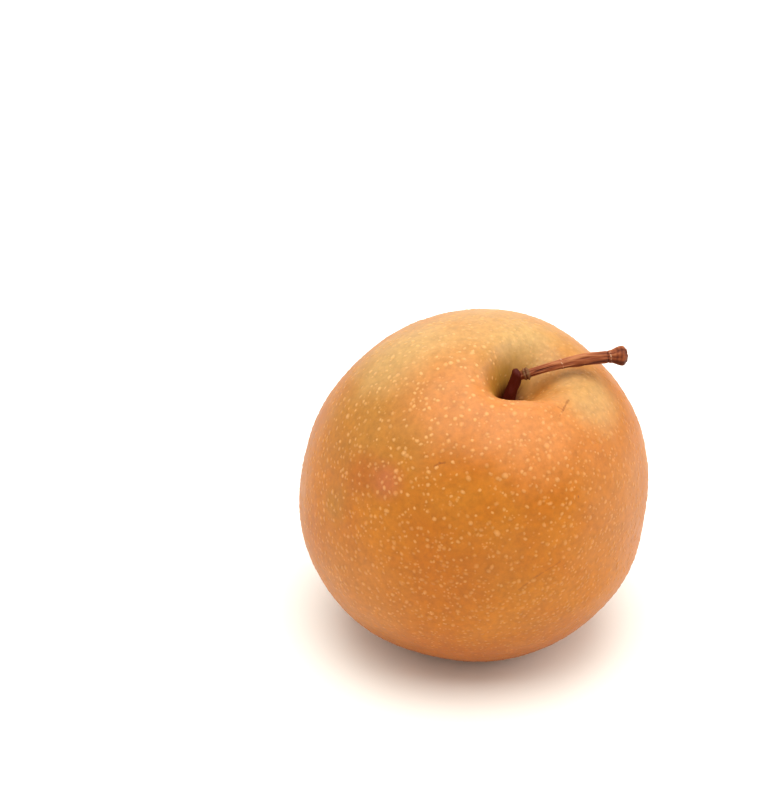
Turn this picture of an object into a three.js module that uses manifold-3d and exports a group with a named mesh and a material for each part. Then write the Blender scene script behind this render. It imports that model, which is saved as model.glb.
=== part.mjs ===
// A russet nashi pear with its bent stem, standing on the rim around its calyx end.
// Millimetres, +Z up. The origin lies under the fruit's middle, on the surface that it stands on.

import * as THREE from 'three';
import { mergeVertices } from 'three/addons/utils/BufferGeometryUtils.js';
import Module from 'manifold-3d';

const { degToRad, smoothstep } = THREE.MathUtils;

// The fruit as a whole. Its stem end and its calyx end are half ellipsoids of unlike height.
const RADIUS = 43;
const STEM_END_HEIGHT = 52.3;
const CALYX_END_HEIGHT = 38.5;
const MIDDLE_ABOVE_SURFACE = 35;

// The stem end leans over towards one side, and the calyx end stays upright.
const LEAN = degToRad(20.3);
const LEAN_AZIMUTH = degToRad(-52);

// Five faint ribs on the calyx end, as a share of the radius.
const RIBS = 5;
const RIB_HEIGHT = 0.006;
const RIB_AZIMUTH = degToRad(-135);

// The cavity around the stem, with a shallow dish around it.
// It is wider towards one side, has two pointed corners across from each other, and a steep wall.
const DISH_DEPTH = 4.5;
const DISH_WIDTH = degToRad(27);
const CAVITY_DEPTH = 13.5;
const CAVITY_WIDTH = degToRad(9.8);
const CAVITY_STEEPNESS = 2.4;
const CAVITY_OPENING = 0.25;
const CAVITY_OPENING_AZIMUTH = degToRad(20);
const CAVITY_CORNERS = 0.22;
const CAVITY_POINTS = 0.05;
const CAVITY_CORNERS_AZIMUTH = degToRad(45);

// The shallow basin at the calyx end, with the corky ring and the pit that the fallen calyx leaves.
const BASIN_DEPTH = 9;
const BASIN_WIDTH = degToRad(15);
const SCAR_HEIGHT = 0.6;
const SCAR_ANGLE = degToRad(6);
const SCAR_WIDTH = degToRad(1.8);
const PIT_DEPTH = 1.6;
const PIT_WIDTH = degToRad(3);

// The stem's short foot rises out of the cavity's floor to a crown. Its long twig leaves that sideways.
// These points are measured from the fruit's middle.
const ROOT_DEPTH = 4;
const CROWN = new THREE.Vector3(10, -9.1, 41.6);
const TWIG_POINTS = [
  new THREE.Vector3(10.2, -9.1, 40.2),
  new THREE.Vector3(12.2, -9, 40.9),
  new THREE.Vector3(20.9, -7.8, 42.9),
  new THREE.Vector3(31, -6.5, 44),
  new THREE.Vector3(35.7, -5.9, 44.1),
];
const FOOT_RADIUS = 2;
const CROWN_RADIUS = 1.25;
const TWIG_RADIUS = 0.95;
const SWELLING = 0.45;
const SWELLING_START = 0.15;
const SWELLING_END = 0.75;
const FLARE = 0.95;
const FLARE_START = 0.84;
const FLARE_END = 0.96;
const COLLAR_HEIGHT = 0.6;
const COLLAR_PLACE = 0.055;
const COLLAR_WIDTH = 0.03;

// Clearance between the stem and the flesh around its root.
const GAP = 0.3;

// How finely the surfaces are divided. Rows crowd towards the fruit's two ends.
const FRUIT_SIDES = 60;
const FRUIT_ROWS = 52;
const ROW_CROWDING = 0.33;
const STEM_SIDES = 12;
const FOOT_RINGS = 5;
const TWIG_RINGS = 40;

const wasm = await Module();
wasm.setup();

/** A closed solid from a geometry's positions. */
function solidOf(geometry) {
  const bare = geometry.clone();
  bare.deleteAttribute('normal');
  bare.deleteAttribute('uv');
  const merged = mergeVertices(bare);
  return new wasm.Manifold(new wasm.Mesh({
    numProp: 3,
    vertProperties: merged.attributes.position.array,
    triVerts: new Uint32Array(merged.index.array),
  }));
}

/** A geometry from a closed solid. */
function geometryOf(solid) {
  const mesh = solid.getMesh();
  const geometry = new THREE.BufferGeometry();
  geometry.setAttribute('position', new THREE.BufferAttribute(mesh.vertProperties, 3));
  geometry.setIndex(new THREE.BufferAttribute(mesh.triVerts, 1));
  geometry.computeVertexNormals();
  return geometry;
}

/** A bell of height 1 around zero. A higher steepness gives it a flatter top and steeper sides. */
function bell(distance, width, steepness = 2) {
  return Math.exp(-(Math.abs(distance / width) ** steepness));
}

/** How far the skin lies from the fruit's middle, by the angle from the stem and the azimuth. */
function skinRadius(polar, azimuth) {
  const flank = Math.sin(polar);
  const rise = Math.cos(polar);
  const calyx = Math.PI - polar;
  const height = rise > 0 ? STEM_END_HEIGHT : CALYX_END_HEIGHT;
  const egg = 1 / Math.hypot(flank / RADIUS, rise / height);
  const ribs = RIB_HEIGHT * flank ** 2 * (0.5 - 0.5 * rise) * Math.cos(RIBS * (azimuth - RIB_AZIMUTH));
  const opening = CAVITY_OPENING * Math.cos(azimuth - CAVITY_OPENING_AZIMUTH);
  const corners = CAVITY_CORNERS * Math.cos(2 * (azimuth - CAVITY_CORNERS_AZIMUTH));
  const points = CAVITY_POINTS * Math.cos(4 * (azimuth - CAVITY_CORNERS_AZIMUTH));
  const cavityWidth = CAVITY_WIDTH * (1 + opening + corners + points);
  const cavity = CAVITY_DEPTH * bell(polar, cavityWidth, CAVITY_STEEPNESS);
  const dish = DISH_DEPTH * bell(polar, DISH_WIDTH);
  const basin = BASIN_DEPTH * bell(calyx, BASIN_WIDTH);
  const scar = SCAR_HEIGHT * bell(calyx - SCAR_ANGLE, SCAR_WIDTH) - PIT_DEPTH * bell(calyx, PIT_WIDTH);
  return egg * (1 + ribs) - cavity - dish - basin + scar;
}

/** The skin's point in a direction, with the stem end leaned over. */
function skinPoint(polar, azimuth) {
  const radius = skinRadius(polar, azimuth);
  const side = radius * Math.sin(polar);
  const point = new THREE.Vector3(side * Math.cos(azimuth), side * Math.sin(azimuth), radius * Math.cos(polar));
  const share = smoothstep(Math.cos(polar), -1, 1);
  const hinge = new THREE.Vector3(-Math.sin(LEAN_AZIMUTH), Math.cos(LEAN_AZIMUTH), 0);
  return point.applyAxisAngle(hinge, LEAN * share);
}

/** A closed tube along a curve, with a radius that changes on the way. */
function tubeAlong(curve, radiusAt, rings) {
  const tube = new THREE.CylinderGeometry(1, 1, 1, STEM_SIDES, rings);
  const position = tube.attributes.position;
  const corner = new THREE.Vector3();
  const upright = new THREE.Vector3(0, 1, 0);
  for (let i = 0; i < position.count; i += 1) {
    corner.fromBufferAttribute(position, i);
    const along = THREE.MathUtils.clamp(corner.y + 0.5, 0, 1);
    const tangent = curve.getTangentAt(along);
    const side = new THREE.Vector3().crossVectors(upright, tangent).normalize();
    const front = new THREE.Vector3().crossVectors(side, tangent);
    const radius = radiusAt(along);
    const point = curve.getPointAt(along);
    point.addScaledVector(side, corner.x * radius);
    point.addScaledVector(front, corner.z * radius);
    position.setXYZ(i, point.x, point.y, point.z);
  }
  return tube;
}

/** The fruit's whole skin as a closed surface around its middle. */
function skinGeometry() {
  const skin = new THREE.SphereGeometry(1, FRUIT_SIDES, FRUIT_ROWS).rotateX(Math.PI / 2);
  const position = skin.attributes.position;
  for (let i = 0; i < position.count; i += 1) {
    const even = Math.acos(THREE.MathUtils.clamp(position.getZ(i), -1, 1));
    const polar = even - ROW_CROWDING * Math.sin(2 * even);
    const point = skinPoint(polar, Math.atan2(position.getY(i), position.getX(i)));
    position.setXYZ(i, point.x, point.y, point.z);
  }
  return skin;
}

/** The surface that the fruit stands on, as a block whose top is at the fruit's lowest height. */
function surfaceBlock() {
  const block = new THREE.BoxGeometry(2 * RADIUS, 2 * RADIUS, RADIUS);
  return block.translate(0, 0, -MIDDLE_ABOVE_SURFACE - RADIUS / 2);
}

const cavityFloor = skinPoint(0, 0);
const footDirection = CROWN.clone().sub(cavityFloor).normalize();
const root = cavityFloor.clone().addScaledVector(footDirection, -ROOT_DEPTH);
const footLine = new THREE.LineCurve3(root, CROWN);
const twigLine = new THREE.CatmullRomCurve3(TWIG_POINTS, false, 'centripetal');

const footRadius = (along) => THREE.MathUtils.lerp(FOOT_RADIUS, CROWN_RADIUS, along);
const twigRadius = (along) => {
  const swelling = SWELLING * smoothstep(along, SWELLING_START, SWELLING_END);
  const flare = FLARE * smoothstep(along, FLARE_START, FLARE_END);
  return TWIG_RADIUS + swelling + flare + COLLAR_HEIGHT * bell(along - COLLAR_PLACE, COLLAR_WIDTH);
};

function makeFruit() {
  const socket = tubeAlong(footLine, (along) => footRadius(along) + GAP, FOOT_RINGS);
  const socketEnd = socket.translate(...footDirection.clone().multiplyScalar(-GAP).toArray());
  const solid = solidOf(skinGeometry()).subtract(solidOf(surfaceBlock())).subtract(solidOf(socketEnd));
  const russet = new THREE.MeshStandardMaterial({ color: 0xc7833c, roughness: 0.5, metalness: 0 });
  const fruit = new THREE.Mesh(geometryOf(solid), russet);
  fruit.name = 'fruit';
  return fruit;
}

function makeStem() {
  const foot = solidOf(tubeAlong(footLine, footRadius, FOOT_RINGS));
  const twig = solidOf(tubeAlong(twigLine, twigRadius, TWIG_RINGS));
  const bark = new THREE.MeshStandardMaterial({ color: 0x5e2f22, roughness: 0.65, metalness: 0 });
  const stem = new THREE.Mesh(geometryOf(foot.add(twig)), bark);
  stem.name = 'stem';
  return stem;
}

const pear = new THREE.Group();
pear.position.z = MIDDLE_ABOVE_SURFACE;
pear.add(makeFruit(), makeStem());

export default pear;
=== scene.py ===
"""A russet nashi pear with its bent stem, standing on a pale floor in soft light.

The packed solids are the fixed frame. Every piece is worked out in metres in that frame, sits at the
origin, and has its place in its mesh.
"""

from collections import namedtuple

import bpy
import numpy as np
from mathutils import Matrix, Vector


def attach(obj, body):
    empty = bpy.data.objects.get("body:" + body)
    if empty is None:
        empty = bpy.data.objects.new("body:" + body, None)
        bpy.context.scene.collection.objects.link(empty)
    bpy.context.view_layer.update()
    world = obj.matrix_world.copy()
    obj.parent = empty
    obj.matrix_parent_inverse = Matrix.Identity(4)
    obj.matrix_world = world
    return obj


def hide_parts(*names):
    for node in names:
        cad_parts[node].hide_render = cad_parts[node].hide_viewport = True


bl_info = {
    "name": "Nashi pear",
    "version": (1, 0, 0),
    "blender": (4, 5, 0),
    "location": "3D View > Sidebar > Pear",
    "description": "Grows a russet nashi pear with raised lenticels and a bent woody stem",
    "category": "Add Mesh",
}

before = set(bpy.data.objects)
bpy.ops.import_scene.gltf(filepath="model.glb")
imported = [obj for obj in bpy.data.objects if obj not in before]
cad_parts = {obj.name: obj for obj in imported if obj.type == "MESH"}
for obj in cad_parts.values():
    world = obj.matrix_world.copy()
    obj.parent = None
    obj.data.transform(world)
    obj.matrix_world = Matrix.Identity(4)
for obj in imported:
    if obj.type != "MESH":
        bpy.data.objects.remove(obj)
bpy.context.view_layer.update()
MM = 0.001
TURN = 2 * np.pi

# The photograph's frame, and how the fruit sits in it.
PHOTO_WIDTH = 771
PHOTO_HEIGHT = 800
FRUIT_PIXEL = (471.7, 489.4)
PIXELS_PER_METRE = 4020
SENSOR_WIDTH = 36

# How far over the fruit's middle the camera looks, and the place that the lights point at.
AIM_RISE = 0.00272
LIGHT_AIM = (0, 0, 0.04)

# A soft-edged area of another colour: its middle in the photograph, its reach on the skin and its strength.
Patch = namedtuple("Patch", "pixel reach colour strength")
PATCHES = (
    Patch((385, 395), 0.032, "olive_tan", 0.75),
    # Pale skin plus painted sheen on the lit top.
    Patch((400, 350), 0.02, "tan", 0.8),
    Patch((500, 325), 0.032, "tan", 0.7),
    Patch((625, 500), 0.024, "peach", 0.8),
    Patch((345, 595), 0.026, "peach", 0.8),
    # Warm pale skin plus painted highlight on the front plateau.
    Patch((535, 428), 0.02, "apricot_and_sheen", 0.85),
    # Pale skin plus painted light on the lit right side of the cavity.
    Patch((590, 395), 0.013, "tan", 0.7),
    # Warm pale skin plus painted light, brightening this area.
    Patch((455, 398), 0.022, "apricot_and_sheen", 0.65),
    # Pale skin plus painted light on the cavity's back wall.
    Patch((524, 346), 0.011, "tan", 0.85),
    Patch((362, 474), 0.008, "rust", 0.6),
    Patch((386, 480), 0.0065, "blush_and_lip_highlight", 0.85),
    # Painted highlight along the cavity's front lip.
    Patch((520, 406), 0.005, "blush_and_lip_highlight", 0.35),
    Patch((490, 362), 0.006, "olive_tan", 0.5),
    Patch((408, 440), 0.008, "olive", 0.22),
    Patch((335, 505), 0.007, "olive", 0.35),
)

# A thin mark on the skin: its ends in the photograph, its half width and its strength.
Mark = namedtuple("Mark", "start end width strength")
MARKS = (
    Mark((568, 400), (563, 411), 0.0004, 0.5),
    Mark((563, 411), (558, 407), 0.0003, 0.32),
    Mark((563, 411), (560, 417), 0.0003, 0.25),
    Mark((435, 465), (440, 462), 0.0005, 0.4),
    Mark((440, 462), (444, 463), 0.0004, 0.45),
    Mark((578, 496), (578.5, 497), 0.0004, 0.6),
    Mark((518, 590), (538, 577), 0.00032, 0.3),
    Mark((538, 577), (560, 561), 0.0003, 0.3),
)

# How the skin's rows crowd towards its ends, its number of ribs, the side where the cavity's wall is
# greenest, and how fast the cavity's rays change on their way down.
ROW_CROWDING = 0.2
RIBS = 5
GREEN_AZIMUTH = np.radians(155)
RAY_CHANGE = 0.6

# A lenticel is a low cap: an inner ring, an outer ring and a top. Each ring has a share of the radius, a
# share of the height and a paleness. The outer ring lies a little under the skin. On the flat map a cap
# reaches over a part of its cell.
DOT_SIDES = 8
DOT_POINTS = 2 * DOT_SIDES + 1
DOT_RINGS = np.array([0.55, 1.0])
DOT_LIFTS = np.array([0.72, -0.35])
DOT_FADES = np.array([0.55, 0.0])
DOT_CELL = 0.42

# How low over the floor a lenticel may lie, how far it is moved as a share of the spacing, how much the sizes
# vary, the side where they are palest, and the turn from one to the next.
DOT_FLOOR_GAP = 0.0006
DOT_SHIFT = 0.4
DOT_VARIETY = 0.2
DOT_PALE_AZIMUTH = np.radians(-160)
GOLDEN_ANGLE = np.pi * (3 - np.sqrt(5))

# The stem's line, in millimetres from the fruit's middle, and how far one side of its crown is drawn up.
CROWN = (10.0, -9.1, 41.6)
PEAK = (-0.2, 0, 0.7)
TWIG_POINTS = (
    (10.2, -9.1, 40.2),
    (12.2, -9.0, 40.9),
    (20.9, -7.8, 42.9),
    (31.0, -6.5, 44.0),
    (35.7, -5.9, 44.1),
)

# How deep the foot goes into the flesh, and how finely the stem is divided.
ROOT_DEPTH = 0.003
STEM_COLUMNS = 72
FOOT_ROWS = 110
TWIG_ROWS = 300
END_ROWS = 14

# Places, widths and spacing on the twig are shares of its length. Each ring of the collar and each node also
# has a share of the full height.
COLLAR_RINGS = ((0.052, 0.75), (0.08, 0.95))
COLLAR_RING_WIDTH = 0.013
COLLAR_LINE = 0.066
NODES = ((0.4, 1.0), (0.845, 0.8))
NODE_WIDTH = 0.008
NODE_HEIGHT = 0.00008
GROOVE = 0.822
GROOVE_WIDTH = 0.007
GROOVE_DEPTH = 0.00014
GROWTH_RING_SPACING = 0.036
END_BULGE = 0.00025
END_ROUGHNESS = 0.00008

# A soft square light: its place, its width and its power.
Lamp = namedtuple("Lamp", "name place size power")
LAMPS = (
    Lamp("top_light", (0.0, -0.1, 0.9), 0.9, 9.6),
    Lamp("back_light", (0.0, 1.1, 0.5), 1.0, 2.8),
    Lamp("left_light", (-0.8, 0.1, 0.45), 0.6, 0.5),
    Lamp("right_light", (0.8, 0.15, 0.4), 0.6, 2.5),
)


def length(name, description, default):
    """A size in metres."""
    return bpy.props.FloatProperty(
        name=name, description=description, default=default, unit="LENGTH", precision=4
    )


def angle(name, description, degrees):
    """An angle, given in degrees and kept in radians."""
    turn = float(np.radians(degrees))
    return bpy.props.FloatProperty(name=name, description=description, default=turn, subtype="ANGLE")


def share(name, description, default):
    """A part of a whole."""
    return bpy.props.FloatProperty(name=name, description=description, default=default, subtype="FACTOR")


def count(name, description, default):
    """A whole number."""
    return bpy.props.IntProperty(name=name, description=description, default=default, min=0)


def colour(name, description, red, green, blue):
    """A colour, given as a screen shows it and kept as light."""
    screen = np.array([red, green, blue]) / 255
    light = np.where(screen <= 0.04045, screen / 12.92, ((screen + 0.055) / 1.055) ** 2.4)
    return bpy.props.FloatVectorProperty(
        name=name, description=description, default=light.tolist(), subtype="COLOR", min=0, max=1
    )


class PearFruit(bpy.types.PropertyGroup):
    """The fruit's shape."""

    radius: length("Radius", "Radius at the widest", 0.043)
    stem_end: length("Stem end", "Half height of the stem end before its hollows", 0.0523)
    calyx_end: length("Calyx end", "Half height of the calyx end before its hollow", 0.0385)
    middle: length("Middle", "Height of the fruit's middle over the floor", 0.035)
    lean: angle("Lean", "How far the stem end leans over", 20.3)
    lean_azimuth: angle("Lean azimuth", "The side that the stem end leans to", -52)
    rib_height: share("Rib height", "Height of the faint ribs, as a share of the radius", 0.006)
    rib_azimuth: angle("Rib azimuth", "Where one of the ribs lies", -135)
    dish_depth: length("Dish depth", "Depth of the shallow dish around the cavity", 0.0045)
    dish_width: angle("Dish width", "Reach of the dish, seen from the middle", 27)
    cavity_depth: length("Cavity depth", "Depth of the cavity around the stem", 0.0135)
    cavity_width: angle("Cavity width", "Reach of the cavity, seen from the middle", 9.8)
    cavity_steepness: bpy.props.FloatProperty(
        name="Cavity steepness", description="Power of the cavity's bell, 2 for a plain one", default=2.4
    )
    cavity_opening: share("Cavity opening", "How much wider the cavity is on its open side", 0.25)
    cavity_opening_azimuth: angle("Opening azimuth", "The cavity's open side", 20)
    cavity_corners: share("Cavity corners", "How much the cavity's two corners reach out", 0.22)
    cavity_points: share("Cavity points", "How much more pointed the corners are", 0.05)
    cavity_corners_azimuth: angle("Corner azimuth", "Where one of the corners lies", 45)
    basin_depth: length("Basin depth", "Depth of the basin at the calyx end", 0.009)
    basin_width: angle("Basin width", "Reach of the basin, seen from the middle", 15)
    scar_height: length("Scar height", "Height of the corky ring in the basin", 0.0006)
    scar_angle: angle("Scar angle", "Radius of the corky ring, seen from the middle", 6)
    scar_width: angle("Scar width", "Width of the corky ring, seen from the middle", 1.8)
    pit_depth: length("Pit depth", "Depth of the pit inside the corky ring", 0.0016)
    pit_width: angle("Pit width", "Reach of the pit, seen from the middle", 3)
    swell_height: length("Swell height", "Height of the skin's broad swells", 0.00016)
    peel_height: length("Peel height", "Height of the skin's fine unevenness", 0.000022)
    columns: count("Columns", "Steps around the fruit", 380)
    rows: count("Rows", "Steps from the stem to the calyx", 250)


class PearLenticels(bpy.types.PropertyGroup):
    """The pale raised dots on the skin."""

    candidates: count("Candidates", "Places tried, of which a part is kept", 10400)
    radius: length("Radius", "Usual radius of a dot", 0.00056)
    height: share("Height", "Height of a dot as a share of its radius", 0.13)
    kept_above: share("Kept above", "Share of the places kept on the stem end", 0.5)
    kept_below: share("Kept below", "Share of the places kept near the calyx end", 0.75)
    seed: count("Seed", "Start of the random draws", 7)


class PearStem(bpy.types.PropertyGroup):
    """The stem's foot, which stands in the cavity, and its twig."""

    foot_radius: length("Foot radius", "Radius where the stem grows out of the fruit", 0.002)
    crown_radius: length("Crown radius", "Radius at the top of the foot", 0.00125)
    twig_radius: length("Twig radius", "Radius of the twig where it leaves the foot", 0.00095)
    swelling: length("Swelling", "How much thicker the twig grows on its way", 0.00045)
    flare: length("Flare", "How much wider the twig's end is", 0.00095)
    collar: length("Collar", "Height of the collar where the twig leaves the foot", 0.0006)
    ridge: length("Ridge", "Height of the bark's ridges", 0.0001)


class PearLook(bpy.types.PropertyGroup):
    """The colours of the skin and the bark."""

    russet: colour("Russet", "The skin's main colour", 197, 110, 10)
    amber: colour("Amber", "The lighter colour that clouds the russet", 205, 121, 20)
    olive_tan: colour("Olive tan", "The skin around the stem end", 186, 129, 54)
    # Pale skin that also stands in for the sheen of the lit top: partly painted sheen.
    tan: colour("Tan", "The pale skin at the top", 214, 170, 106)
    # Also paints the soft highlight on the front plateau: partly painted highlight.
    apricot_and_sheen: colour("Apricot", "The warm pale skin in front of the cavity", 222, 142, 76)
    olive: colour("Olive", "Greenish areas and the cavity's wall", 168, 122, 40)
    peach: colour("Peach", "The paler sides", 203, 126, 54)
    # Also the painted highlight along the cavity's front lip.
    blush_and_lip_highlight: colour("Blush", "The pinkish area", 198, 112, 62)
    rust: colour("Rust", "The deeper area beside the blush", 186, 98, 30)
    # Painted shade: darker skin low on the calyx end, near the floor.
    low_shade: colour("Deep", "The skin low on the calyx end", 176, 90, 4)
    # Painted shade on the cavity's floor and in the dark rays on its wall.
    hollow_shade: colour("Hollow", "The cavity's floor", 88, 20, 1)
    lenticel: colour("Lenticel", "The raised dots", 236, 174, 108)
    scratch: colour("Scratch", "Healed scratches", 120, 62, 26)
    cork: colour("Cork", "The scar in the basin", 112, 78, 46)
    bark: colour("Bark", "The twig's bark", 134, 68, 36)
    # Also the painted shade on the twig's underside.
    bark_groove_and_shade: colour("Bark groove", "The grooves of the bark", 82, 32, 14)
    # Also painted highlights along the twig's lit top.
    bark_crest_and_highlight: colour("Bark crest", "The worn crests of the bark", 184, 118, 74)
    bark_foot: colour("Bark foot", "The bark inside the cavity", 74, 14, 1)
    collar: colour("Collar", "The grey collar", 108, 74, 44)
    fleck: colour("Fleck", "The pale flecks at the twig's nodes", 214, 172, 138)
    pith: colour("Pith", "The twig's broken end", 92, 38, 18)


class PearStage(bpy.types.PropertyGroup):
    """The floor, the light and the camera."""

    floor: colour("Floor", "The floor", 252, 250, 243)
    floor_size: length("Floor size", "Width of the floor", 6)
    sky: bpy.props.FloatProperty(name="Sky", description="Strength of the even light", default=0.68)
    sky_colour: colour("Sky colour", "Colour of the even light", 255, 252, 244)
    elevation: angle("Elevation", "How far the camera looks down", 30)
    distance: length("Distance", "From the camera to the fruit", 0.55)


def settings(name):
    """One group of the scene's settings."""
    return getattr(bpy.context.scene, name)


# Shapes as whole arrays

def bell(distance, width, steepness=2):
    """A bell of height 1: e to the power of minus distance over width, raised to the steepness."""
    return np.exp(-(np.abs(distance / width) ** steepness))


def smooth(value, low, high):
    """The smooth step: 3t squared minus 2t cubed, where t is the share of the way from low to high."""
    way = np.clip((value - low) / (high - low), 0, 1)
    return way * way * (3 - 2 * way)


def ripple(points, waves, wavelength, seed):
    """An uneven field: the sum of plane waves whose directions, lengths and phases are drawn at random.

    It is scaled to a mean square of about 1, whatever the number of waves.
    """
    draw = np.random.default_rng(seed)
    axes = draw.normal(size=(3, waves))
    axes /= np.linalg.norm(axes, axis=0)
    axes *= TURN / (wavelength * draw.uniform(0.7, 1.5, waves))
    phases = draw.uniform(0, TURN, waves)
    return np.sin(points @ axes + phases).sum(-1) * np.sqrt(2 / waves)


def unit(vectors):
    """Vectors divided by their length."""
    return vectors / np.linalg.norm(vectors, axis=-1, keepdims=True)


def cavity_share(polar, azimuth, fruit):
    """How deep a place lies in the cavity, from 0 to 1: a bell of the angle from the stem.

    The bell's width is the cavity's, times 1 plus a cosine for its open side, one of the double angle for
    its two corners, and one of the fourfold angle that makes them more pointed.
    """
    opening = fruit.cavity_opening * np.cos(azimuth - fruit.cavity_opening_azimuth)
    corners = fruit.cavity_corners * np.cos(2 * (azimuth - fruit.cavity_corners_azimuth))
    points = fruit.cavity_points * np.cos(4 * (azimuth - fruit.cavity_corners_azimuth))
    return bell(polar, fruit.cavity_width * (1 + opening + corners + points), fruit.cavity_steepness)


def hollow_shade_share(polar, azimuth, fruit):
    """How much painted shade darkens the cavity's floor: its depth, times 1 less a share of the sine of the
    angle from the stem.

    The share goes with the azimuth's cosine, so the floor is darker on the side away from the twig.
    """
    return cavity_share(polar, azimuth, fruit) * (1 - 1.2 * np.sin(polar) * np.cos(azimuth))


def wall_share(polar, azimuth, fruit):
    """How green the cavity's wall is, from 0 to 1: its depth, times a cosine that favours the shaded side."""
    return cavity_share(polar, azimuth, fruit) * (0.5 + 0.5 * np.cos(azimuth - GREEN_AZIMUTH))


def skin_radius(polar, azimuth, fruit):
    """The skin's distance from the fruit's middle.

    Two half ellipsoids with faint ribs, less the bells of the cavity, the dish and the basin, plus the
    scar's ring and less its pit, plus broad swells and fine unevenness.
    """
    flank = np.sin(polar)
    rise = np.cos(polar)
    calyx = np.pi - polar
    half_height = np.where(rise > 0, fruit.stem_end, fruit.calyx_end)
    egg = 1 / np.hypot(flank / fruit.radius, rise / half_height)
    ribs = fruit.rib_height * flank**2 * (0.5 - 0.5 * rise) * np.cos(RIBS * (azimuth - fruit.rib_azimuth))
    cavity = cavity_share(polar, azimuth, fruit)
    hollows = fruit.cavity_depth * cavity + fruit.dish_depth * bell(polar, fruit.dish_width)
    hollows = hollows + fruit.basin_depth * bell(calyx, fruit.basin_width)
    scar = fruit.scar_height * bell(calyx - fruit.scar_angle, fruit.scar_width)
    scar = scar - fruit.pit_depth * bell(calyx, fruit.pit_width)
    towards = np.stack([flank * np.cos(azimuth), flank * np.sin(azimuth), rise], -1)
    uneven = fruit.swell_height * ripple(towards, 28, 0.55, 11)
    uneven = uneven + fruit.peel_height * ripple(towards, 60, 0.1, 12)
    return egg * (1 + ribs) - hollows + scar + uneven


def skin_points(polar, azimuth, fruit):
    """Points of the skin: the radius along each direction, turned about a level axis by a share of the lean.

    The share is the smooth step of the cosine of the angle from the stem, so the calyx end stays upright.
    The fruit's middle stands over the floor, and what would lie below the floor is pressed flat on it.
    """
    radius = skin_radius(polar, azimuth, fruit)
    turn = fruit.lean * smooth(np.cos(polar), -1, 1)
    side = radius * np.sin(polar)
    along = side * np.cos(azimuth - fruit.lean_azimuth)
    across = side * np.sin(azimuth - fruit.lean_azimuth)
    rise = radius * np.cos(polar)
    leaned = along * np.cos(turn) + rise * np.sin(turn)
    height = rise * np.cos(turn) - along * np.sin(turn) + fruit.middle
    x = leaned * np.cos(fruit.lean_azimuth) - across * np.sin(fruit.lean_azimuth)
    y = leaned * np.sin(fruit.lean_azimuth) + across * np.cos(fruit.lean_azimuth)
    return np.stack([x, y, np.maximum(height, 0)], -1)


def skin_frame(polar, azimuth, fruit):
    """Points of the skin with two level directions and the outward one, from small steps on the skin."""
    step = 0.002
    point = skin_points(polar, azimuth, fruit)
    down = unit(skin_points(polar + step, azimuth, fruit) - skin_points(polar - step, azimuth, fruit))
    around = unit(skin_points(polar, azimuth + step, fruit) - skin_points(polar, azimuth - step, fruit))
    outward = unit(np.cross(down, around))
    return point, down, np.cross(outward, down), outward


def curve_through(points, steps):
    """A smooth line through points: a cubic between each two, with slopes taken from their neighbours."""
    points = np.array(points)
    reach = np.append(0, np.cumsum(np.linalg.norm(np.diff(points, axis=0), axis=1)))
    slopes = np.gradient(points, reach, axis=0)
    place = np.linspace(0, reach[-1], steps)
    k = np.clip(np.searchsorted(reach, place, side="right") - 1, 0, len(points) - 2)
    span = (reach[k + 1] - reach[k])[:, None]
    t = (place - reach[k])[:, None] / span
    start = (1 + 2 * t) * (1 - t) ** 2 * points[k] + t * (1 - t) ** 2 * span * slopes[k]
    end = t**2 * (3 - 2 * t) * points[k + 1] + t**2 * (t - 1) * span * slopes[k + 1]
    return start + end


def sweep(middles, radii, around):
    """Rings along a line: each middle plus its radius times the cosine and sine of two directions across."""
    along = unit(np.gradient(middles, axis=0))
    side = unit(np.cross([0, 1, 0], along))
    front = np.cross(side, along)
    ring = side[:, None] * np.cos(around)[None, :, None] + front[:, None] * np.sin(around)[None, :, None]
    return middles[:, None] + ring * radii[..., None], along


# Meshes

def closed_faces(rows, columns):
    """Corner numbers of a closed skin: rings of quads between two poles, which are the last two points."""
    ring = np.arange(rows * columns).reshape(rows, columns)
    after = np.roll(ring, -1, 1)
    quads = np.stack([ring[:-1], ring[1:], after[1:], after[:-1]], -1).reshape(-1, 4)
    top = np.full(columns, rows * columns)
    first = np.stack([top, ring[0], after[0]], -1)
    last = np.stack([top + 1, after[-1], ring[-1]], -1)
    return quads, np.concatenate([first, last])


def make_piece(name, points, faces, material):
    """A smooth mesh object from points and lists of faces, at the origin."""
    mesh = bpy.data.meshes.new(name)
    mesh.from_pydata(points.reshape(-1, 3), [], [face for group in faces for face in group.tolist()])
    mesh.materials.append(material)
    mesh.shade_smooth()
    if mesh.validate():
        raise RuntimeError(f"{name} has faces that Blender can't use")
    piece = bpy.data.objects.new(name, mesh)
    bpy.context.scene.collection.objects.link(piece)
    return piece


def put_values(piece, name, values):
    """Keeps one number or one vector for each of the piece's points."""
    kind = "FLOAT_VECTOR" if values.ndim > 1 else "FLOAT"
    field = "vector" if values.ndim > 1 else "value"
    layer = piece.data.attributes.new(name, kind, "POINT")
    layer.data.foreach_set(field, values.astype(np.float32).ravel())


def put_map(piece, places):
    """Keeps a flat place for each corner of the piece's faces, so that the finish can be drawn on it."""
    layer = piece.data.uv_layers.new(name="OFBake")
    layer.data.foreach_set("uv", places.astype(np.float32).ravel())


def corners_of(piece):
    """The point number at each corner of the piece's faces."""
    numbers = np.empty(len(piece.data.loops), np.int32)
    piece.data.loops.foreach_get("vertex_index", numbers)
    return numbers


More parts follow.
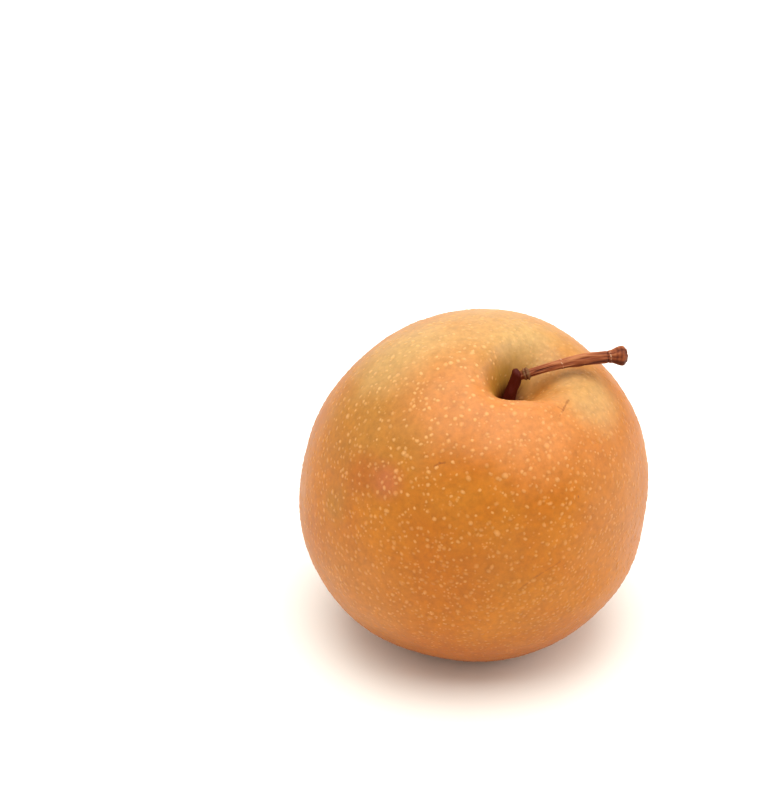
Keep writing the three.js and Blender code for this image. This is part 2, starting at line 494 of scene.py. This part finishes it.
def closed_map(piece, rows, columns):
    """A flat map of a closed skin: columns across, rows down, and the poles above and below their faces."""
    numbers = corners_of(piece)
    row = np.where(numbers < rows * columns, numbers // columns + 1.0, 0.0)
    row[numbers == rows * columns + 1] = rows + 1
    column = (numbers % columns).astype(float)
    totals = np.empty(len(piece.data.polygons), np.int32)
    piece.data.polygons.foreach_get("loop_total", totals)
    starts = np.cumsum(totals) - totals
    pole = numbers >= rows * columns
    lowest = np.minimum.reduceat(np.where(pole, columns, column), starts)
    highest = np.maximum.reduceat(np.where(pole, -1, column), starts)
    wraps = np.repeat(highest - lowest > 1, totals)
    column = np.where(wraps & (column == 0) & ~pole, columns, column)
    middle = np.where(highest - lowest > 1, columns - 0.5, lowest + 0.5)
    column = np.where(pole, np.repeat(middle, totals), column)
    put_map(piece, np.stack([column / columns, 1 - row / (rows + 1)], -1))


# Shading

class Wire:
    """A shader socket that takes part in Python sums. Each operator adds the Math node that works it out."""

    def __init__(self, tree, socket=None):
        self.tree = tree
        self.socket = socket

    def node(self, kind, output=0, settings=(), **sockets):
        """Adds a node: settings first, then its sockets' values or links, by name or as s and a number."""
        made = self.tree.nodes.new(kind)
        for name, value in dict(settings).items():
            setattr(made, name, value)
        for name, value in sockets.items():
            numbered = name[0] == "s" and name[1:].isdigit()
            socket = made.inputs[int(name[1:]) if numbered else name]
            if isinstance(value, Wire):
                self.tree.links.new(value.socket, socket)
            else:
                socket.default_value = value
        return Wire(self.tree, made.outputs[output])

    def math(self, operation, *values):
        sockets = {f"s{k}": value for k, value in enumerate(values)}
        return self.node("ShaderNodeMath", 0, {"operation": operation}, **sockets)

    def __add__(self, other):
        return self.math("ADD", self, other)

    def __sub__(self, other):
        return self.math("SUBTRACT", self, other)

    def __rsub__(self, other):
        return self.math("SUBTRACT", other, self)

    def __mul__(self, other):
        return self.math("MULTIPLY", self, other)

    def __truediv__(self, other):
        return self.math("DIVIDE", self, other)

    __radd__ = __add__
    __rmul__ = __mul__

    def vector(self, operation, *values, output=0, **sockets):
        numbered = {f"s{k}": value for k, value in enumerate(values)}
        return self.node("ShaderNodeVectorMath", output, {"operation": operation}, **numbered, **sockets)

    def step(self, low, high):
        """The smooth step from 0 at low to 1 at high."""
        kind = {"interpolation_type": "SMOOTHSTEP"}
        return self.node("ShaderNodeMapRange", 0, kind, Value=self, s1=low, s2=high)

    def mix(self, first, second, amount, blend="MIX"):
        """A colour between two others."""
        kind = {"data_type": "RGBA", "blend_type": blend}
        return self.node("ShaderNodeMix", 2, kind, s0=amount, s6=first, s7=second)

    def noise(self, place, scale, detail=2.0, roughness=0.5):
        return self.node(
            "ShaderNodeTexNoise", 0, Vector=place, Scale=scale, Detail=detail, Roughness=roughness
        )

    def value(self, name, output="Fac"):
        """A number or a vector that the piece keeps for each of its points."""
        return self.node("ShaderNodeAttribute", output, {"attribute_name": name})


def rgba(tint):
    """A colour with full cover, as sockets take it."""
    return (*tint, 1.0)


def new_material(name):
    """A material, the start of its wires and its shader."""
    material = bpy.data.materials.new(name)
    material.use_nodes = True
    shader = material.node_tree.nodes["Principled BSDF"]
    return material, Wire(material.node_tree), shader


def feed(wire, shader, **sockets):
    """Links wires to the shader's sockets, named with underscores for spaces, or sets fixed values."""
    for name, value in sockets.items():
        socket = shader.inputs[name.replace("_", " ")]
        if isinstance(value, Wire):
            wire.tree.links.new(value.socket, socket)
        else:
            socket.default_value = value


def stroke(wire, place, start, end, width):
    """How near a place is to a straight stroke: 1 on it and 0 from one width away."""
    run = (end - start).tolist()
    from_start = wire.vector("SUBTRACT", place, start.tolist())
    share_of_run = wire.vector("DOT_PRODUCT", from_start, run, output=1) / float(np.dot(run, run))
    within = share_of_run.math("MINIMUM", share_of_run.math("MAXIMUM", share_of_run, 0.0), 1.0)
    nearest = wire.vector("SCALE", run, Scale=within)
    return wire.vector("DISTANCE", from_start, nearest, output=1).step(width, 0.3 * width)


def patched(wire, skin, place, look, patch_places):
    """The skin with its soft patches: each fades out over its reach, and its edge is ragged by noise.

    First, painted shade darkens the skin low on the calyx end, near the floor. Some patches also paint
    the sheen of the lit top and a highlight on the cavity's lip.
    """
    ragged = wire.noise(place, 130, 3) * 0.5
    height = wire.node("ShaderNodeSeparateXYZ", 2, Vector=place)
    # Painted shade: the skin darkens low down, near the floor.
    skin = wire.mix(skin, rgba(look.low_shade), (height + 0.012 * ragged).step(0.03, 0.014) * 0.75)
    for patch, point in zip(PATCHES, patch_places):
        away = wire.vector("DISTANCE", place, point.tolist(), output=1) / patch.reach
        cover = (away + ragged - 0.25).step(1.0, 0.15) * patch.strength
        skin = wire.mix(skin, rgba(getattr(look, patch.colour)), cover)
    return skin


def hollowed(wire, skin, place, look):
    """The skin with the cavity's greenish wall, and painted shade: faint dark rays along its fine wrinkles
    and a dark floor.
    """
    rays = wire.noise(wire.value("rays", "Vector"), 7, 3)
    wall = (wire.value("wall") + 0.25 * wire.noise(place, 420, 3) - 0.125).step(0.08, 0.5)
    skin = wire.mix(skin, rgba(look.olive), wall * 0.75)
    # Painted shade: faint dark rays along the wall's fine wrinkles.
    skin = wire.mix(skin, rgba(look.hollow_shade), wall * rays.step(0.4, 0.8) * 0.2)
    # Painted shade: the cavity's floor darkened where it lies lowest and is least lit.
    floor = (wire.value("cavity") + 0.12 * rays - 0.06).step(0.62, 0.95)
    return wire.mix(skin, rgba(look.hollow_shade), floor)


def scratched(wire, skin, place, look, mark_ends):
    """The skin with its thin marks: straight strokes over places that noise moves a little."""
    waver = wire.node("ShaderNodeTexNoise", 1, Vector=place, Scale=900.0)
    waver = wire.vector("SCALE", wire.vector("SUBTRACT", waver, (0.5, 0.5, 0.5)), Scale=0.0007)
    drawn = wire.vector("ADD", place, waver)
    for mark, (start, end) in zip(MARKS, mark_ends):
        cover = stroke(wire, drawn, start, end, mark.width) * mark.strength
        skin = wire.mix(skin, rgba(look.scratch), cover)
    return skin


def russet_skin(look, patch_places, mark_ends):
    """The skin's finish, for the fruit and its lenticels alike.

    Clouds of amber over russet, soft patches of other colours, some of which paint sheen and highlights,
    painted shade low on the calyx end, a greenish cavity with painted shade on its floor and rays, fine
    mottling and specks, healed scratches, a corky scar, and pale colour where a point is marked as pale.
    """
    material, wire, shader = new_material("pear_skin")
    place = wire.node("ShaderNodeTexCoord", "Object")
    clouds = wire.noise(place, 55, 3).step(0.35, 0.68)
    skin = wire.mix(rgba(look.russet), rgba(look.amber), clouds)
    drift = wire.noise(place, 34, 2).step(0.45, 0.8) * 0.25
    skin = wire.mix(skin, rgba(look.olive_tan), drift)
    skin = patched(wire, skin, place, look, patch_places)
    mottle = wire.noise(place, 700, 4, 0.6)
    light = 0.45 + 0.48 * mottle + 0.18 * wire.noise(place, 240, 3)
    grey = wire.node("ShaderNodeCombineColor", 0, Red=light, Green=light, Blue=light)
    skin = wire.mix(skin, grey, 1.0, "MULTIPLY")
    speck = wire.node("ShaderNodeTexVoronoi", 0, {"feature": "F1"}, Vector=place, Scale=820)
    faint = wire.noise(place, 260, 1).step(0.4, 0.7)
    skin = wire.mix(skin, rgba(look.lenticel), speck.step(0.3, 0.1) * faint * 0.3)
    skin = hollowed(wire, skin, place, look)
    skin = wire.mix(skin, rgba(look.cork), wire.value("scar"))
    skin = scratched(wire, skin, place, look, mark_ends)
    pale = wire.value("pale")
    skin = wire.mix(skin, rgba(look.lenticel), pale)
    rough = 0.38 + 0.14 * mottle + 0.08 * pale
    grain = wire.noise(place, 1900, 3, 0.6)
    relief = wire.node("ShaderNodeBump", 0, Strength=0.25, Distance=0.00006, Height=grain)
    feed(wire, shader, Base_Color=skin, Roughness=rough, Normal=relief)
    feed(wire, shader, Specular_IOR_Level=0.24, Subsurface_Weight=0.12, Subsurface_Scale=0.003)
    feed(wire, shader, Subsurface_Radius=(1.0, 0.45, 0.15))
    return material


def stem_bark(look):
    """The bark's finish: lengthwise streaks, dark grooves, worn crests, a grey collar and pale flecks.

    The ridge value also carries painted shade, so the groove colour darkens the underside and the crest
    colour paints highlights on the twig's top.
    """
    material, wire, shader = new_material("pear_bark")
    place = wire.value("bark_place", "Vector")
    drawn = wire.vector("MULTIPLY", place, (1.0, 1.0, 0.12))
    streak = wire.noise(drawn, 2600, 4, 0.6)
    ridge = wire.value("ridge")
    # The ridge value carries painted shade, so these mixes also darken the underside and paint highlights on
    # the top.
    bark = wire.mix(rgba(look.bark_groove_and_shade), rgba(look.bark), (ridge + streak - 0.5).step(0.05, 0.6))
    bark = wire.mix(bark, rgba(look.bark_crest_and_highlight), (ridge + 0.7 * streak - 0.35).step(0.55, 1.0) * 0.75)
    bark = wire.mix(bark, rgba(look.collar), wire.value("collar") * (streak.step(0.3, 0.6) * 0.5 + 0.5))
    bark = wire.mix(bark, rgba(look.bark_foot), wire.value("foot"))
    bark = wire.mix(bark, rgba(look.pith), wire.value("pith"))
    fleck = wire.noise(place, 2200, 2).step(0.56, 0.64) * wire.value("fleck")
    bark = wire.mix(bark, rgba(look.fleck), fleck * 0.8)
    relief = wire.node("ShaderNodeBump", 0, Strength=0.4, Distance=0.00008, Height=streak)
    feed(wire, shader, Base_Color=bark, Roughness=0.5 + 0.25 * streak, Normal=relief)
    feed(wire, shader, Specular_IOR_Level=0.18)
    return material


def pale_floor(stage):
    """A plain matt floor."""
    material, wire, shader = new_material("pale_floor")
    feed(wire, shader, Base_Color=rgba(stage.floor), Roughness=0.8, Specular_IOR_Level=0.1)
    return material


# The photograph's camera

def camera_frame():
    """The camera's place and its directions to the right, up and back.

    It looks down at the fruit's middle from its distance, and is set aside so that the middle of the
    fruit lands on its own pixel and the lens needs no shift.
    """
    stage = settings("pear_stage")
    target = np.array([0, 0, settings("pear_fruit").middle + AIM_RISE])
    back = np.array([0, -np.cos(stage.elevation), np.sin(stage.elevation)])
    right = np.array([1.0, 0, 0])
    up = np.cross(back, right)
    aside = (FRUIT_PIXEL[0] - PHOTO_WIDTH / 2) / PIXELS_PER_METRE
    below = (FRUIT_PIXEL[1] - PHOTO_HEIGHT / 2) / PIXELS_PER_METRE
    return target + back * stage.distance - right * aside + up * below, right, up, back


def on_skin(pixels, points, outward):
    """The skin's points that pixels show: of those that face the camera, the nearest in the frame."""
    place, right, up, back = camera_frame()
    ray = points - place
    far = -(ray @ back)
    scale = PIXELS_PER_METRE * settings("pear_stage").distance / far
    seen = (outward * ray).sum(-1) < 0
    across = PHOTO_WIDTH / 2 + ray @ right * scale
    down = PHOTO_HEIGHT / 2 - ray @ up * scale
    pixels = np.array(pixels, float)
    away = np.hypot(across[None] - pixels[:, :1], down[None] - pixels[:, 1:])
    return points[np.where(seen, away, np.inf).argmin(1)]


# Pieces

def put_skin_values(piece, polar, azimuth, fruit):
    """Keeps what the skin's finish needs: the painted shade of the cavity's floor, its wall, and places that
    run with its rays.

    Such a place is the cosine and sine of the azimuth, with the angle from the stem as its height.
    """
    # The cavity value is the painted shade of the cavity's floor.
    put_values(piece, "cavity", hollow_shade_share(polar, azimuth, fruit))
    put_values(piece, "wall", wall_share(polar, azimuth, fruit))
    put_values(piece, "rays", np.stack([np.cos(azimuth), np.sin(azimuth), RAY_CHANGE * polar], -1))


class PEAR_OT_skin(bpy.types.Operator):
    """Grows the fruit's skin over its CAD solid"""

    bl_idname = "pear.skin"
    bl_label = "Skin"

    def execute(self, context):
        fruit = settings("pear_fruit")
        even = np.linspace(0, np.pi, fruit.rows + 2)[1:-1]
        rows = even - ROW_CROWDING * np.sin(2 * even)
        columns = np.arange(fruit.columns) * TURN / fruit.columns
        polar, azimuth = (grid.ravel() for grid in np.meshgrid(rows, columns, indexing="ij"))
        points, _, _, outward = skin_frame(polar, azimuth, fruit)
        poles = skin_points(np.array([0, np.pi]), np.zeros(2), fruit)
        patch_places = on_skin([patch.pixel for patch in PATCHES], points, outward)
        mark_starts = on_skin([mark.start for mark in MARKS], points, outward)
        mark_ends = on_skin([mark.end for mark in MARKS], points, outward)
        material = russet_skin(settings("pear_look"), patch_places, zip(mark_starts, mark_ends))
        points = np.concatenate([points, poles])
        skin = make_piece("skin", points, closed_faces(fruit.rows, fruit.columns), material)
        polar = np.append(polar, [0, np.pi])
        azimuth = np.append(azimuth, [0, 0])
        put_skin_values(skin, polar, azimuth, fruit)
        put_values(skin, "scar", bell(np.pi - polar, fruit.scar_angle + fruit.scar_width))
        put_values(skin, "pale", np.zeros(len(polar)))
        closed_map(skin, fruit.rows, fruit.columns)
        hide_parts("fruit")
        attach(skin, "root")
        return {"FINISHED"}


def scattered_dots(dots, fruit):
    """The lenticels' angles, radii, strengths of colour and outlines, one of each for every lenticel.

    Places turn by the golden angle from one to the next while their height falls evenly, and are moved at
    random by a share of their spacing. More are kept towards the calyx, where they are smaller and fainter.
    They are strongest on one side of the stem end. An outline is a ring of radii: 1 plus a cosine of the
    double angle, times a random raggedness.
    """
    draw = np.random.default_rng(dots.seed)
    number = np.arange(dots.candidates)
    spacing = np.sqrt(4 * np.pi / dots.candidates)
    height = 1 - (2 * number + 1) / dots.candidates
    polar = np.arccos(height) + spacing * draw.uniform(-DOT_SHIFT, DOT_SHIFT, dots.candidates)
    moved = spacing * draw.uniform(-DOT_SHIFT, DOT_SHIFT, dots.candidates) / np.sqrt(1 - height**2)
    azimuth = number * GOLDEN_ANGLE + moved
    below = smooth(polar, np.radians(85), np.radians(140))
    chance = dots.kept_above + (dots.kept_below - dots.kept_above) * below
    kept = draw.uniform(size=dots.candidates) < chance
    kept &= (polar > np.radians(5)) & (polar < np.radians(170))
    polar, azimuth, below = polar[kept], azimuth[kept], below[kept]
    total = len(polar)
    radius = dots.radius * np.exp(draw.normal(0, DOT_VARIETY, total)) * (1 - 0.42 * below)
    strength = draw.uniform(0.3, 0.75, total)
    strength *= 1 - 0.48 * smooth(polar, np.radians(25), np.radians(85))
    strength *= 0.71 + 0.39 * np.cos(azimuth - DOT_PALE_AZIMUTH)
    strength *= 1 - 0.45 * below
    turn = np.arange(DOT_SIDES) * TURN / DOT_SIDES
    bulges = np.cos(2 * (turn - draw.uniform(0, TURN, (total, 1))))
    outline = 1 + 0.25 * bulges * draw.uniform(0, 1, (total, 1))
    outline *= draw.uniform(0.88, 1.12, (total, DOT_SIDES))
    clear = skin_points(polar, azimuth, fruit)[:, 2] > DOT_FLOOR_GAP
    return polar[clear], azimuth[clear], radius[clear], strength[clear], outline[clear]


def dot_points(skin_places, radius, outline, height):
    """Points of the lenticels' caps: for each, its inner ring, its outer ring and its top.

    A ring's point is the cap's middle, plus the ring's share of the outline along the cosine and sine of two
    level directions, plus the ring's share of the height along the outward one.
    """
    centre, down, around, outward = skin_places
    turn = np.arange(DOT_SIDES) * TURN / DOT_SIDES
    flat = (radius[:, None] * outline)[:, None] * DOT_RINGS[:, None]
    across = (flat * np.cos(turn))[..., None] * down[:, None, None]
    aside = (flat * np.sin(turn))[..., None] * around[:, None, None]
    lift = ((radius * height)[:, None] * DOT_LIFTS)[..., None, None] * outward[:, None, None]
    rings = centre[:, None, None] + across + aside + lift
    tops = centre + outward * (radius * height)[:, None]
    return np.concatenate([rings.reshape(len(centre), -1, 3), tops[:, None]], 1)


def dot_faces(total):
    """Corner numbers of the caps: a fan of triangles around each top, and a band of quads around the fan."""
    inner = np.arange(DOT_SIDES)
    after = np.roll(inner, -1)
    fan = np.stack([np.full(DOT_SIDES, 2 * DOT_SIDES), inner, after], -1)
    band = np.stack([inner, inner + DOT_SIDES, after + DOT_SIDES, after], -1)
    start = np.arange(total)[:, None, None] * DOT_POINTS
    return (fan + start).reshape(-1, 3), (band + start).reshape(-1, 4)


def dot_map(piece, total):
    """A flat map of the caps: each in its own cell of a square table, as seen from above."""
    cells = int(np.ceil(np.sqrt(total)))
    owner, local = np.divmod(corners_of(piece), DOT_POINTS)
    turn = local % DOT_SIDES * TURN / DOT_SIDES
    reach = DOT_CELL * np.append(np.repeat(DOT_RINGS, DOT_SIDES), 0)[local]
    spread = np.stack([np.cos(turn), np.sin(turn)], -1) * reach[:, None]
    cell = np.stack([owner % cells, owner // cells], -1)
    put_map(piece, (cell + 0.5 + spread) / cells)


class PEAR_OT_lenticels(bpy.types.Operator):
    """Raises the pale dots on the skin as low caps"""

    bl_idname = "pear.lenticels"
    bl_label = "Lenticels"

    def execute(self, context):
        fruit = settings("pear_fruit")
        dots = settings("pear_lenticels")
        polar, azimuth, radius, strength, outline = scattered_dots(dots, fruit)
        points = dot_points(skin_frame(polar, azimuth, fruit), radius, outline, dots.height)
        material = bpy.data.objects["skin"].active_material
        lenticels = make_piece("lenticels", points, dot_faces(len(points)), material)
        put_skin_values(lenticels, np.repeat(polar, DOT_POINTS), np.repeat(azimuth, DOT_POINTS), fruit)
        fade = np.append(np.repeat(DOT_FADES, DOT_SIDES), 1.0)
        put_values(lenticels, "pale", (strength[:, None] * fade).ravel())
        put_values(lenticels, "scar", np.zeros(len(points) * DOT_POINTS))
        dot_map(lenticels, len(points))
        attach(lenticels, "root")
        return {"FINISHED"}


def straightened(along, around, radius, reach):
    """Places on the stem as if it were straight: a ring of the radius, with the way along as its height."""
    height = along[:, None] * reach
    return np.stack(np.broadcast_arrays(np.cos(around) * radius, np.sin(around) * radius, height), -1)


def foot_shape(fruit, stem, around):
    """The foot's rings, the point that it starts from, and what its bark needs.

    It runs straight from its root to its crown. Its radius falls from the foot's to the crown's with the way
    that is left, to the power of one and a half. The top closes with the square root of 1 less the square of
    a smooth step, and one side of it is drawn up to a peak.
    """
    floor = skin_points(np.zeros(1), np.zeros(1), fruit)[0]
    crown = np.array(CROWN) * MM + np.array([0, 0, fruit.middle])
    root = floor + unit(floor - crown) * ROOT_DEPTH
    along = np.linspace(0, 1, FOOT_ROWS)
    line = root + (crown - root) * along[:, None]
    plain = stem.crown_radius + (stem.foot_radius - stem.crown_radius) * (1 - along) ** 1.5
    closing = np.sqrt(np.clip(1 - smooth(along, 0.9, 1.0) ** 2, 0.02, 1))
    wrinkle = ripple(straightened(along, around, 1, 3), 60, 0.75, 21)
    points, _ = sweep(line, (plain * closing)[:, None] * (1 + 0.05 * wrinkle), around)
    peak = smooth(along, 0.86, 1.0)[:, None] * (0.5 - 0.5 * np.cos(around))
    points = points + peak[..., None] * np.array(PEAK) * MM
    return points, root, {
        "ridge": 0.5 + 0.25 * wrinkle,
        "foot": np.ones_like(wrinkle),
        "collar": np.zeros_like(wrinkle),
        "pith": np.zeros_like(wrinkle),
        "fleck": np.zeros_like(wrinkle),
        "bark_place": straightened(along, around, 1.3 * MM, 12 * MM),
    }


def twig_end(rim, middle, direction):
    """The twig's broken end: rings from its rim towards its middle, bulging by a sine and roughened."""
    inward = np.linspace(0, 1, END_ROWS + 1)[1:] * 0.96
    face = rim + (middle - rim) * inward[:, None, None]
    rough = END_ROUGHNESS * ripple(face / (0.6 * MM), 30, 1.4, 23)
    bulge = END_BULGE * np.sin(np.pi / 2 * inward)[:, None]
    return face + (bulge - rough * inward[:, None])[..., None] * direction


def with_end(values, fill):
    """One value for each of the twig's points, followed by a single one for all of its end."""
    side = np.broadcast_to(values, (TWIG_ROWS, STEM_COLUMNS))
    return np.concatenate([side, np.full((END_ROWS, STEM_COLUMNS), fill)])


def twig_shape(fruit, stem, around):
    """The twig's rings with its end, the point that it starts from, and what its bark needs.

    It follows a smooth line. Its radius is the twig's, plus smooth steps for the swelling and the flare. It
    rounds off at the end. Bells add the collar's rings and the nodes and take away the groove, and the
    bark's ridges follow an uneven field. The bark is painted with shade: darker below and paler on its top,
    where its worn crests gather as painted highlights. It is also darker towards the end and in the groove,
    with arched growth rings on the flare.
    """
    along = np.linspace(0, 1, TWIG_ROWS)
    way = along[:, None]
    line = curve_through(np.array(TWIG_POINTS) * MM + np.array([0, 0, fruit.middle]), TWIG_ROWS)
    collar = sum(height * bell(way - place, COLLAR_RING_WIDTH) for place, height in COLLAR_RINGS)
    node = sum(height * bell(way - place, NODE_WIDTH) for place, height in NODES)
    groove = bell(way - GROOVE, GROOVE_WIDTH)
    plain = stem.twig_radius + stem.swelling * smooth(way, 0.15, 0.75) + stem.flare * smooth(way, 0.84, 0.96)
    plain = plain * (1 - 0.42 * smooth(way, 0.945, 1.0) ** 2)
    plain = plain + stem.collar * collar + NODE_HEIGHT * node - GROOVE_DEPTH * groove
    place = straightened(along, around, 1, 1.7)
    wrinkle = 0.6 * ripple(place, 60, 0.75, 22) + 0.6 * ripple(place, 60, 0.3, 24)
    points, direction = sweep(line, plain + stem.ridge * wrinkle * (1 + 0.6 * smooth(way, 0.85, 1.0)), around)
    waves = np.cos(TURN * way / GROWTH_RING_SPACING + 1.5 * np.cos(around) + 0.8 * wrinkle)
    arches = (0.1 + 0.12 * waves) * smooth(way, 0.86, 0.9)
    # Painted shade: darker below and paler on the top, where the light falls; also darker towards the end.
    shade = 0.25 * np.cos(around) + 0.22 * smooth(way, 0.45, 0.75) - 0.08
    dark = 0.6 * smooth(-way, -0.05, -0.03) + 0.8 * bell(way - COLLAR_LINE, 0.006)
    end = twig_end(points[-1], line[-1], direction[-1])
    return np.concatenate([points, end]), line[0], {
        # The ridge value carries the painted shade as well as the bark's ridges.
        "ridge": with_end(0.5 + 0.25 * wrinkle - 0.35 * groove - shade - arches, 0.3),
        "foot": with_end(dark, 0.0),
        "collar": with_end(smooth(way, 0.03, 0.05) * smooth(-way, -0.115, -0.09), 0.0),
        "pith": with_end(0.8 * smooth(way, 0.96, 1.0), 1.0),
        "fleck": with_end(node, 0.0),
        "bark_place": np.concatenate([straightened(along, around, 1.2 * MM, 27 * MM), end]),
    }


class PEAR_OT_stem(bpy.types.Operator):
    """Grows the stem's foot and its twig over their CAD solid"""

    bl_idname = "pear.stem"
    bl_label = "Stem"

    def execute(self, context):
        fruit = settings("pear_fruit")
        stem = settings("pear_stem")
        material = stem_bark(settings("pear_look"))
        around = np.arange(STEM_COLUMNS) * TURN / STEM_COLUMNS
        self.grow("stem_foot", material, *foot_shape(fruit, stem, around))
        self.grow("stem_twig", material, *twig_shape(fruit, stem, around))
        return {"FINISHED"}

    def grow(self, name, material, rings, start, values):
        """Makes one closed part of the stem from its rings, and keeps what its bark needs."""
        rows, columns = rings.shape[:2]
        points = np.concatenate([rings.reshape(-1, 3), [start, rings[-1].mean(0)]])
        piece = make_piece(name, points, closed_faces(rows, columns), material)
        for key, grid in values.items():
            ends = np.stack([grid[0].mean(0), grid[-1].mean(0)])
            put_values(piece, key, np.concatenate([grid.reshape(rows * columns, *grid.shape[2:]), ends]))
        closed_map(piece, rows, columns)
        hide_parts("stem")
        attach(piece, "root")


class PEAR_OT_stage(bpy.types.Operator):
    """Sets the floor, the soft lights and the camera"""

    bl_idname = "pear.stage"
    bl_label = "Stage"

    def execute(self, context):
        stage = settings("pear_stage")
        half = stage.floor_size / 2
        corners = np.array([(-half, -half, 0), (half, -half, 0), (half, half, 0), (-half, half, 0)])
        floor = make_piece("floor", corners, (np.array([[0, 1, 2, 3]]),), pale_floor(stage))
        scene = context.scene
        scene.view_settings.view_transform = "Standard"
        scene.world = bpy.data.worlds.new("soft_sky")
        scene.world.use_nodes = True
        sky = scene.world.node_tree.nodes["Background"]
        sky.inputs["Color"].default_value = rgba(stage.sky_colour)
        sky.inputs["Strength"].default_value = stage.sky
        for lamp in LAMPS:
            self.light(lamp)
        place, right, up, back = camera_frame()
        view = bpy.data.cameras.new("photo_camera")
        view.sensor_width = SENSOR_WIDTH
        view.lens = SENSOR_WIDTH * PIXELS_PER_METRE * stage.distance / PHOTO_HEIGHT
        camera = bpy.data.objects.new("photo_camera", view)
        turned = Matrix((right, up, back)).transposed().to_4x4()
        turned.translation = Vector(place)
        camera.matrix_world = turned
        scene.collection.objects.link(camera)
        scene.camera = camera
        return {"FINISHED"}

    def light(self, lamp):
        """One soft square light, turned to the fruit."""
        glow = bpy.data.lights.new(lamp.name, "AREA")
        glow.size = lamp.size
        glow.energy = lamp.power
        light = bpy.data.objects.new(lamp.name, glow)
        light.location = lamp.place
        towards = Vector(LIGHT_AIM) - Vector(lamp.place)
        light.rotation_euler = towards.to_track_quat("-Z", "Y").to_euler()
        bpy.context.scene.collection.objects.link(light)


class PEAR_PT_panel(bpy.types.Panel):
    """Lists the pear's pieces and settings"""

    bl_idname = "PEAR_PT_panel"
    bl_label = "Nashi pear"
    bl_space_type = "VIEW_3D"
    bl_region_type = "UI"
    bl_category = "Pear"

    def draw(self, context):
        for operator in OPERATORS:
            self.layout.operator(operator.bl_idname)
        for name, group in GROUPS.items():
            box = self.layout.box()
            box.label(text=group.__doc__)
            for key in group.__annotations__:
                box.prop(getattr(context.scene, name), key)


OPERATORS = (PEAR_OT_stage, PEAR_OT_skin, PEAR_OT_lenticels, PEAR_OT_stem)
GROUPS = {
    "pear_fruit": PearFruit,
    "pear_lenticels": PearLenticels,
    "pear_stem": PearStem,
    "pear_look": PearLook,
    "pear_stage": PearStage,
}


def register():
    for name, group in GROUPS.items():
        bpy.utils.register_class(group)
        setattr(bpy.types.Scene, name, bpy.props.PointerProperty(type=group))
    for operator in OPERATORS:
        bpy.utils.register_class(operator)
    bpy.utils.register_class(PEAR_PT_panel)


def unregister():
    bpy.utils.unregister_class(PEAR_PT_panel)
    for operator in reversed(OPERATORS):
        bpy.utils.unregister_class(operator)
    for name, group in GROUPS.items():
        delattr(bpy.types.Scene, name)
        bpy.utils.unregister_class(group)


def main():
    register()
    bpy.ops.pear.stage()
    bpy.ops.pear.skin()
    bpy.ops.pear.lenticels()
    bpy.ops.pear.stem()


if __name__ == "__main__":
    main()
